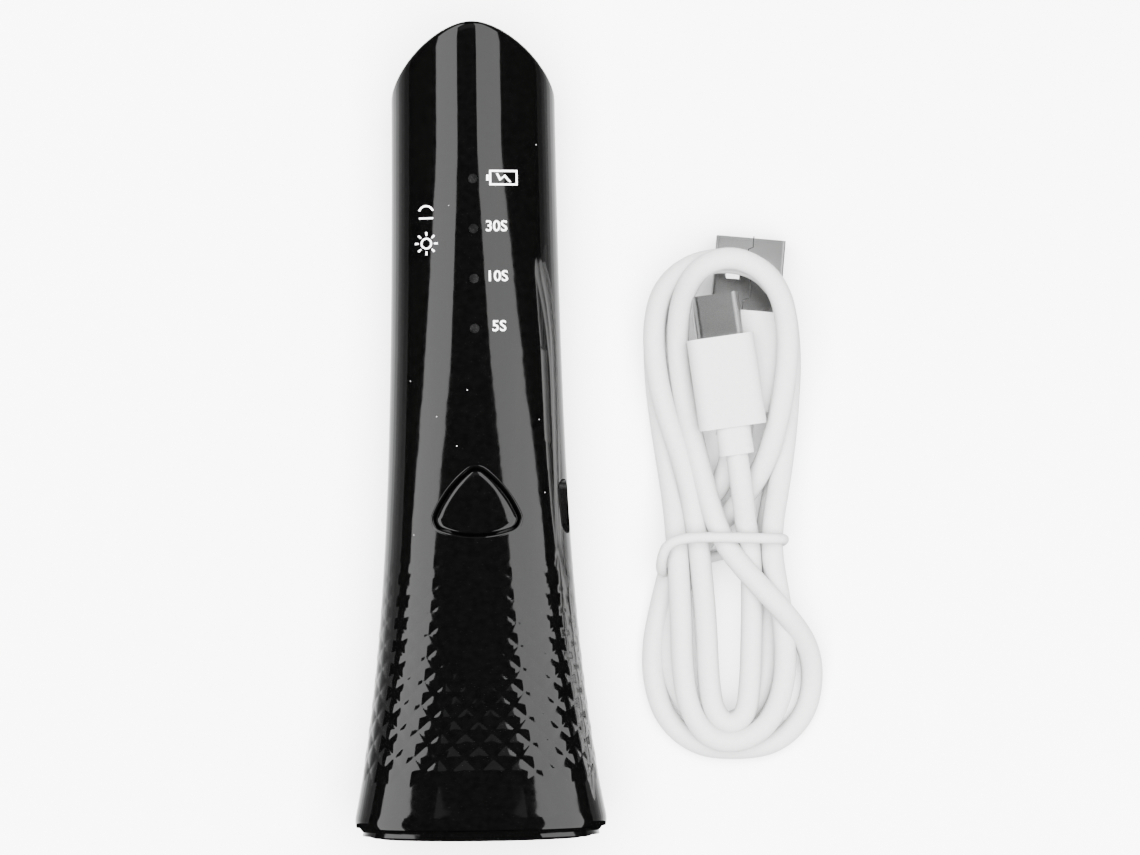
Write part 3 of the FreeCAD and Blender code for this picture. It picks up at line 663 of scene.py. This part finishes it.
# Printed marks beside the indicators, in mm: names, texts and centres of the labels.
markFacts = {
    "lift": 0.012, "thick": 0.03, "textSize": 2.603, "embolden": 0.035,
    "labels": (("mark30", "30S", 3.9, 34.95), ("mark10", "10S", 3.95, 26.4),
               ("mark5", "5S", 4.2, 17.85)),
}


def layOn(obj, surface):
    for vertex in obj.data.vertices:
        x, y = vertex.co.x / mm, vertex.co.y / mm
        vertex.co.z = (surface(x, y) + markFacts["lift"]) * mm
    obj.data.update()
    modifier = obj.modifiers.new("thick", "SOLIDIFY")
    modifier.thickness = markFacts["thick"] * mm
    modifier.offset = 0
    applyAll(obj)


def label(name, text, centreX, centreY):
    deselect()
    bpy.ops.object.text_add(location=(0, 0, 0))
    words = bpy.context.object
    words.data.body = text
    words.data.align_x = "CENTER"
    words.data.align_y = "CENTER"
    words.data.size = markFacts["textSize"] * mm
    words.data.offset = markFacts["embolden"] * mm
    words.data.resolution_u = 4
    bpy.ops.object.convert(target="MESH")
    words.location = (centreX * mm, centreY * mm, 0)
    bpy.ops.object.transform_apply(location=True)
    layOn(words, frontSurface)
    settle(words, name, "root", "white_plastic")
    return words


marks = [label(*facts) for facts in markFacts["labels"]]


# Thin printed strokes, each a list of point pairs, left side and right side.
def flatPiece(name, strokes, surface=frontSurface, bodyName="root", slotName="white_plastic"):
    points, faces = [], []
    for stroke in strokes:
        start = len(points)
        for first, second in stroke:
            points += [(*first, 0), (*second, 0)]
        for step in range(len(stroke) - 1):
            base = start + 2 * step
            faces.append((base, base + 1, base + 3, base + 2))
    obj = meshObject(name, points, faces)
    layOn(obj, surface)
    settle(obj, name, bodyName, slotName)
    return obj


def bar(x0, y0, x1, y1):
    steps = 8
    along = [x0 + (x1 - x0) * step / steps for step in range(steps + 1)]
    return [((x, y0), (x, y1)) for x in along]


battery = {
    "left": 2.8, "right": 7.6, "low": 42.0, "middle": 43.3, "high": 44.6, "line": 0.3,
    "knob": (2.3, 42.8, 2.7, 43.8),
    "bolt": (((3.95, 0.72), (4.25, 0.78)), ((4.55, -0.55), (4.75, -0.1)),
             ((5.35, 0.1), (5.45, 0.55)), ((6.25, -0.8), (6.5, -0.7))),
}


def batteryStrokes():
    left, right, line = battery["left"], battery["right"], battery["line"]
    low, high = battery["low"], battery["high"]
    bolt = [tuple((x, battery["middle"] + y) for x, y in pair) for pair in battery["bolt"]]
    return [bar(left, low, right, low + line), bar(left, high - line, right, high),
            bar(left, low + line, left + line, high - line),
            bar(right - line, low + line, right, high - line),
            bar(*battery["knob"]), bolt]


marks.append(flatPiece("markBattery", batteryStrokes()))

sign = {"x": -8.15, "y": 32.2, "ring": 0.85, "line": 0.28, "rays": 8, "rayRadius": 1.65,
        "rayLength": 0.62, "rayHalf": 5, "domeRise": 5.2, "domeRadius": 1.25,
        "domeAngles": (20, 160), "baseHalf": 1.2, "baseRise": 4.2}


def arcStroke(x, y, radius, wide, start, end, steps=16):
    stroke = []
    for step in range(steps + 1):
        angle = math.radians(start + (end - start) * step / steps)
        reaches = (radius - wide / 2, radius + wide / 2)
        stroke.append(tuple(
            (x + reach * math.cos(angle), y + reach * math.sin(angle)) for reach in reaches))
    return stroke


def signStrokes():
    x, y, line, half = sign["x"], sign["y"], sign["line"], sign["rayHalf"]
    strokes = [arcStroke(x, y, sign["ring"], line, 0, 360)]
    for order in range(sign["rays"]):
        turn = 360 // sign["rays"] * order
        strokes.append(arcStroke(
            x, y, sign["rayRadius"], sign["rayLength"], turn - half, turn + half, 2))
    strokes.append(arcStroke(
        x, y + sign["domeRise"], sign["domeRadius"], line, *sign["domeAngles"]))
    base = y + sign["baseRise"]
    strokes.append(bar(x - sign["baseHalf"], base, x + sign["baseHalf"], base + line))
    return strokes


marks.append(flatPiece("markLight", signStrokes()))

# The seam and the two windows of the USB-A plug's shell, in mm.
plugFacts = {
    "top": 6.25, "seamWidth": 0.22, "windowWidth": 2.3,
    "seam": ((48.4, 33.2), (48.25, 31.3), (47.45, 31.0), (47.35, 30.0), (48.05, 29.7),
             (47.8, 26.0), (47.45, 22.5), (46.4, 22.25), (46.15, 20.2)),
    "windows": (((44.75, 27.9), (44.6, 25.9)), ((51.2, 26.6), (51.0, 24.6))),
}


def shellTop(x, y):
    return plugFacts["top"]


# A stroke of even width along points.
def wire(points, wide):
    stroke = []
    for index, (x, y) in enumerate(points):
        before, after = points[max(index - 1, 0)], points[min(index + 1, len(points) - 1)]
        dx, dy = after[0] - before[0], after[1] - before[1]
        size = math.hypot(dx, dy)
        stroke.append(((x - dy / size * wide / 2, y + dx / size * wide / 2),
                       (x + dy / size * wide / 2, y - dx / size * wide / 2)))
    return stroke


seam = flatPiece("plugSeam", [wire(plugFacts["seam"], plugFacts["seamWidth"])], shellTop,
                 "charging_cable", "plug_steel")
windowStrokes = [wire(points, plugFacts["windowWidth"]) for points in plugFacts["windows"]]
windows = flatPiece("plugWindows", windowStrokes, shellTop, "charging_cable", "white_plastic")
print("marks")


# A node group's sockets, each a name and whether it is a colour.
def newGroup(name, inputs, outputs):
    group = bpy.data.node_groups.new(name, "ShaderNodeTree")
    for way, sockets in (("INPUT", inputs), ("OUTPUT", outputs)):
        for socket, isColour in sockets:
            kind = "NodeSocketColor" if isColour else "NodeSocketFloat"
            group.interface.new_socket(name=socket, in_out=way, socket_type=kind)
    return group


# Fine noise that mixes two colours and two roughnesses, and gives a height for the bump.
def finishGroup():
    group = newGroup("finish", (
        ("Scale", False), ("Colour A", True), ("Colour B", True), ("Rough A", False),
        ("Rough B", False), ("Low", False), ("High", False)), (
        ("Color", True), ("Roughness", False), ("Height", False)))
    add, link = group.nodes.new, group.links.new
    source, sink = add("NodeGroupInput"), add("NodeGroupOutput")
    where = add("ShaderNodeTexCoord")
    noise = add("ShaderNodeTexNoise")
    noise.inputs["Detail"].default_value = 5.0
    link(where.outputs["Object"], noise.inputs["Vector"])
    link(source.outputs["Scale"], noise.inputs["Scale"])
    level = add("ShaderNodeMapRange")
    link(noise.outputs["Fac"], level.inputs["Value"])
    link(source.outputs["Low"], level.inputs["From Min"])
    link(source.outputs["High"], level.inputs["From Max"])
    tint = add("ShaderNodeMix")
    tint.data_type = "RGBA"
    link(level.outputs["Result"], tint.inputs["Factor"])
    link(source.outputs["Colour A"], tint.inputs[6])
    link(source.outputs["Colour B"], tint.inputs[7])
    rough = add("ShaderNodeMix")
    link(level.outputs["Result"], rough.inputs["Factor"])
    link(source.outputs["Rough A"], rough.inputs[2])
    link(source.outputs["Rough B"], rough.inputs[3])
    link(tint.outputs[2], sink.inputs["Color"])
    link(rough.outputs[0], sink.inputs["Roughness"])
    link(level.outputs["Result"], sink.inputs["Height"])
    return group


finish = finishGroup()


def addBump(tree, height, distance):
    bump = tree.nodes.new("ShaderNodeBump")
    bump.inputs["Strength"].default_value = 1.0
    bump.inputs["Distance"].default_value = distance * mm
    tree.links.new(height, bump.inputs["Height"])
    tree.links.new(bump.outputs["Normal"], tree.nodes["Principled BSDF"].inputs["Normal"])


# A look from two colours and two roughnesses; the bump's depth is in mm.
def material(name, scale, colourA, colourB, roughA, roughB, bump=0.0, low=0.35, high=0.65,
             **own):
    made = bpy.data.materials.new(name)
    made.use_nodes = True
    tree = made.node_tree
    shader = tree.nodes["Principled BSDF"]
    node = tree.nodes.new("ShaderNodeGroup")
    node.node_tree = finish
    values = (scale, (*colourA, 1), (*colourB, 1), roughA, roughB, low, high)
    for socket, value in zip(node.inputs, values):
        socket.default_value = value
    tree.links.new(node.outputs["Color"], shader.inputs["Base Color"])
    tree.links.new(node.outputs["Roughness"], shader.inputs["Roughness"])
    if bump:
        addBump(tree, node.outputs["Height"], bump)
    for key, value in own.items():
        shader.inputs[key.replace("_", " ")].default_value = value
    return made


def grey(value):
    return (value, value, value)


# Specks of dust on the gloss, and a slow wave of its surface; the depth of the wave is in mm.
dustFacts = {"speckScale": 210, "speckSize": 0.022, "speckColour": 0.3, "waveScale": 130,
             "waveDepth": 0.03}


def dustGroup():
    group = newGroup("dust", (("Color", True),), (("Color", True), ("Height", False)))
    add, link = group.nodes.new, group.links.new
    source, sink = add("NodeGroupInput"), add("NodeGroupOutput")
    where = add("ShaderNodeTexCoord")
    specks = add("ShaderNodeTexVoronoi")
    specks.inputs["Scale"].default_value = dustFacts["speckScale"]
    link(where.outputs["Object"], specks.inputs["Vector"])
    small = add("ShaderNodeMath")
    small.operation = "LESS_THAN"
    small.inputs[1].default_value = dustFacts["speckSize"]
    link(specks.outputs["Distance"], small.inputs[0])
    tint = add("ShaderNodeMix")
    tint.data_type = "RGBA"
    link(small.outputs[0], tint.inputs["Factor"])
    link(source.outputs["Color"], tint.inputs[6])
    tint.inputs[7].default_value = (*grey(dustFacts["speckColour"]), 1)
    wave = add("ShaderNodeTexNoise")
    wave.inputs["Scale"].default_value = dustFacts["waveScale"]
    wave.inputs["Detail"].default_value = 2
    link(where.outputs["Object"], wave.inputs["Vector"])
    link(tint.outputs[2], sink.inputs["Color"])
    link(wave.outputs["Fac"], sink.inputs["Height"])
    return group


def addDust(look):
    tree = look.node_tree
    shader = tree.nodes["Principled BSDF"]
    node = tree.nodes.new("ShaderNodeGroup")
    node.node_tree = dust
    plain = shader.inputs["Base Color"].links[0].from_socket
    tree.links.new(plain, node.inputs["Color"])
    tree.links.new(node.outputs["Color"], shader.inputs["Base Color"])
    addBump(tree, node.outputs["Height"], dustFacts["waveDepth"])


dust = dustGroup()
looks = {
    "blackGloss": material("blackGloss", 900, grey(0.0005), grey(0.0009), 0.045, 0.075,
                           low=0.3, high=0.7),
    "blackSatin": material("blackSatin", 1400, grey(0.001), grey(0.002), 0.1, 0.14),
    "whiteCable": material("whiteCable", 1200, grey(0.37), (0.395, 0.395, 0.39), 0.42, 0.52,
                           0.004),
    "plugSteel": material("plugSteel", 8000, grey(0.34), grey(0.5), 0.3, 0.4, 0.004, Metallic=1.0),
    "darkSteel": material("darkSteel", 5000, grey(0.05), grey(0.09), 0.3, 0.4, Metallic=1.0),
    "screwSteel": material("screwSteel", 2200, grey(0.42), grey(0.6), 0.25, 0.4, Metallic=1.0),
    "gold": material("gold", 1800, (0.85, 0.6, 0.25), (0.95, 0.7, 0.33), 0.18, 0.3,
                     Metallic=1.0),
    "mirror": material("mirror", 700, grey(0.86), grey(0.93), 0.05, 0.12, Metallic=1.0),
    "aluminium": material("aluminium", 1500, grey(0.62), grey(0.76), 0.28, 0.42, Metallic=1.0),
    "clearLens": material("clearLens", 500, grey(0.95), grey(1.0), 0.02, 0.05, IOR=1.49,
                          Transmission_Weight=1.0),
    "smokedPipe": material("smokedPipe", 900, grey(0.002), grey(0.005), 0.1, 0.16),
    "ledBoard": material("ledBoard", 1200, grey(0.78), grey(0.86), 0.4, 0.5),
    "ledEmitter": material("ledEmitter", 3000, (0.72, 0.62, 0.22), (0.82, 0.74, 0.3),
                           0.2, 0.35),
    "boardGreen": material("boardGreen", 1600, (0.01, 0.11, 0.035), (0.015, 0.16, 0.05),
                           0.3, 0.42),
    "chipBlack": material("chipBlack", 2500, grey(0.015), grey(0.03), 0.45, 0.6),
    "whitePlastic": material("whitePlastic", 1500, grey(0.80), grey(0.88), 0.35, 0.45),
    "cellWrap": material("cellWrap", 700, (0.05, 0.13, 0.42), (0.07, 0.17, 0.5),
                         0.28, 0.4),
    "leadRed": material("leadRed", 1500, (0.5, 0.02, 0.02), (0.6, 0.04, 0.03), 0.4, 0.5),
    "leadBlack": material("leadBlack", 1500, grey(0.02), grey(0.035), 0.4, 0.5),
    "softPad": material("softPad", 1800, grey(0.02), grey(0.035), 0.7, 0.85, 0.01),
    "markWhite": material("markWhite", 2500, grey(0.82), grey(0.92), 0.4, 0.5),
}
addDust(looks["blackGloss"])
nodeLooks = {
    "base_cap": "blackGloss", "base_pad": "softPad", "base_screws": "screwSteel",
    "head_bezel": "blackSatin", "lens_window": "clearLens", "reflector": "mirror",
    "led_board": "ledBoard", "heat_spreader": "aluminium", "uv_leds": "ledEmitter",
    "tact_switch_body": "chipBlack", "switch_cover": "plugSteel", "switch_stem": "blackSatin",
    "light_pipes": "smokedPipe", "light_pipe_bar": "smokedPipe", "main_board": "boardGreen",
    "usb_c_receptacle_shell": "darkSteel", "usb_c_receptacle_tongue": "chipBlack",
    "controller_chip": "chipBlack", "charge_chip": "chipBlack", "boost_inductor": "chipBlack",
    "board_capacitors": "gold", "board_resistors": "chipBlack", "indicator_leds": "whitePlastic",
    "battery_socket": "whitePlastic", "led_socket": "whitePlastic", "board_screws": "screwSteel",
    "shell_screws": "screwSteel", "battery_cell": "cellWrap", "battery_plus_cap": "screwSteel",
    "battery_pad_low": "softPad", "battery_pad_high": "softPad", "battery_lead_red": "leadRed",
    "battery_lead_black": "leadBlack", "led_lead_red": "leadRed", "led_lead_black": "leadBlack",
    "usb_c_collar": "whiteCable", "usb_c_overmold": "whiteCable", "usb_c_plug_shell": "plugSteel",
    "usb_c_plug_core": "chipBlack", "usb_a_collar": "whiteCable", "usb_a_overmold": "whiteCable",
    "usb_a_shell": "plugSteel", "usb_a_core": "whitePlastic", "usb_a_contacts": "gold",
}


def dress(obj, look):
    obj.data.materials.clear()
    obj.data.materials.append(looks[look])


for name, look in nodeLooks.items():
    node = nodes[name]
    for holder in node.material_slots:
        holder.material = looks[look]
    if not node.material_slots:
        node.data.materials.append(looks[look])
for piece, look in ((lampFront, "blackGloss"), (lampRear, "blackGloss"), (buttonLip, "blackGloss"),
                    (buttonPiece, "blackGloss"), (cord, "whiteCable"), (tie, "whiteCable")):
    dress(piece, look)
for piece in marks:
    dress(piece, "markWhite")
dress(seam, "chipBlack")
dress(windows, "whitePlastic")
print("materials")

# The floor and the world, in metres.
floorFacts = {"size": 6.0, "height": -0.0001, "worldGrey": 0.02}
deselect()
bpy.ops.mesh.primitive_plane_add(
    size=floorFacts["size"], location=(0, 0, floorFacts["height"]))
floor = bpy.context.object
floor.name = "floor"
paper = material("paper", 3, grey(0.90), grey(0.91), 0.55, 0.6)
floor.data.materials.append(paper)
floor.visible_glossy = False

world = bpy.data.worlds.new("studio")
world.use_nodes = True
backdrop = world.node_tree.nodes["Background"]
backdrop.inputs["Color"].default_value = (*grey(floorFacts["worldGrey"]), 1)
backdrop.inputs["Strength"].default_value = 1.0
bpy.context.scene.world = world


# Panels over the lamp, in metres, each aimed at the origin from a tilt in degrees towards +Y.
panels = {
    "headPanel": {"tilt": 29.6, "width": 0.9, "length": 0.386, "radiance": 0.32,
                  "distance": 0.7, "glossy": True},
    "topFill": {"tilt": 0.0, "width": 2.0, "length": 2.0, "radiance": 28.0,
                "distance": 1.6, "glossy": False},
}


def panelLight(name, facts):
    data = bpy.data.lights.new(name, "AREA")
    data.shape = "RECTANGLE"
    data.size = facts["width"]
    data.size_y = facts["length"]
    data.energy = facts["radiance"] * math.pi * facts["width"] * facts["length"]
    panel = bpy.data.objects.new(name, data)
    bpy.context.collection.objects.link(panel)
    tilt = math.radians(facts["tilt"])
    panel.location = (0, facts["distance"] * math.sin(tilt), facts["distance"] * math.cos(tilt))
    panel.rotation_euler = (-tilt, 0, 0)
    panel.visible_glossy = facts["glossy"]


for name, facts in panels.items():
    panelLight(name, facts)

# Softboxes along both sides: each row has its place along Y in metres, and the nearer and the
# further edge in degrees from straight up.
stripDistance = 0.25
strips = {
    "leftBox": {"strength": 4.0, "edges": (
        (-0.4, -57, -82), (0.004, -55, -84), (0.026, -42, -74), (0.061, -33, -62),
        (0.4, -33, -62))},
    "rightBox": {"strength": 3.5, "edges": (
        (-0.4, 44, 84), (0.004, 42, 83), (0.026, 28, 69), (0.061, 11, 51), (0.4, 11, 51))},
}


def glowing(name, strength):
    glow = bpy.data.materials.new(name)
    glow.use_nodes = True
    shader = glow.node_tree.nodes["Principled BSDF"]
    shader.inputs["Base Color"].default_value = (0, 0, 0, 1)
    shader.inputs["Emission Color"].default_value = (1, 1, 1, 1)
    shader.inputs["Emission Strength"].default_value = strength
    return glow


for name, facts in strips.items():
    points, faces = [], []
    for place, near, far in facts["edges"]:
        for angle in (near, far):
            turn = math.radians(angle)
            points.append((stripDistance / mm * math.sin(turn), place / mm,
                           stripDistance / mm * math.cos(turn)))
    for row in range(len(facts["edges"]) - 1):
        faces.append((2 * row, 2 * row + 1, 2 * row + 3, 2 * row + 2))
    box = meshObject(name, points, faces)
    box.data.materials.append(glowing(name, facts["strength"]))
    box.visible_camera = False
    box.visible_shadow = False

# What the lamp's sides mirror of the table, brightest beside the lamp: nearer and further edge
# of each band in mm from the lamp's side, and its strength.
tableGlow = {
    "bands": ((1, 9, 3.2), (9, 15, 2.4), (15, 22, 1.5), (22, 30, 0.7), (30, 42, 0.35),
              (42, 75, 0.12)),
    "stations": (1, 12, 24, 40, 60, 90, 200), "height": 0.6,
}
glowRows = len(tableGlow["stations"])
for order, (near, far, strength) in enumerate(tableGlow["bands"]):
    points, faces = [], []
    for side in (-1, 1):
        for station in tableGlow["stations"]:
            for reach in (near, far):
                points.append((side * (halfWidth(station) + reach),
                               station - body["length"] / 2, tableGlow["height"]))
    for half in (0, 1):
        for row in range(glowRows - 1):
            start = 2 * (half * glowRows + row)
            quad = (start, start + 1, start + 3, start + 2)
            faces.append(quad if half else quad[::-1])
    band = meshObject(f"tableGlow{order}", points, faces)
    band.data.materials.append(glowing(f"tableGlow{order}", strength))
    band.visible_camera = False
    band.visible_diffuse = False
    band.visible_shadow = False
print("lights")

bpy.context.view_layer.update()
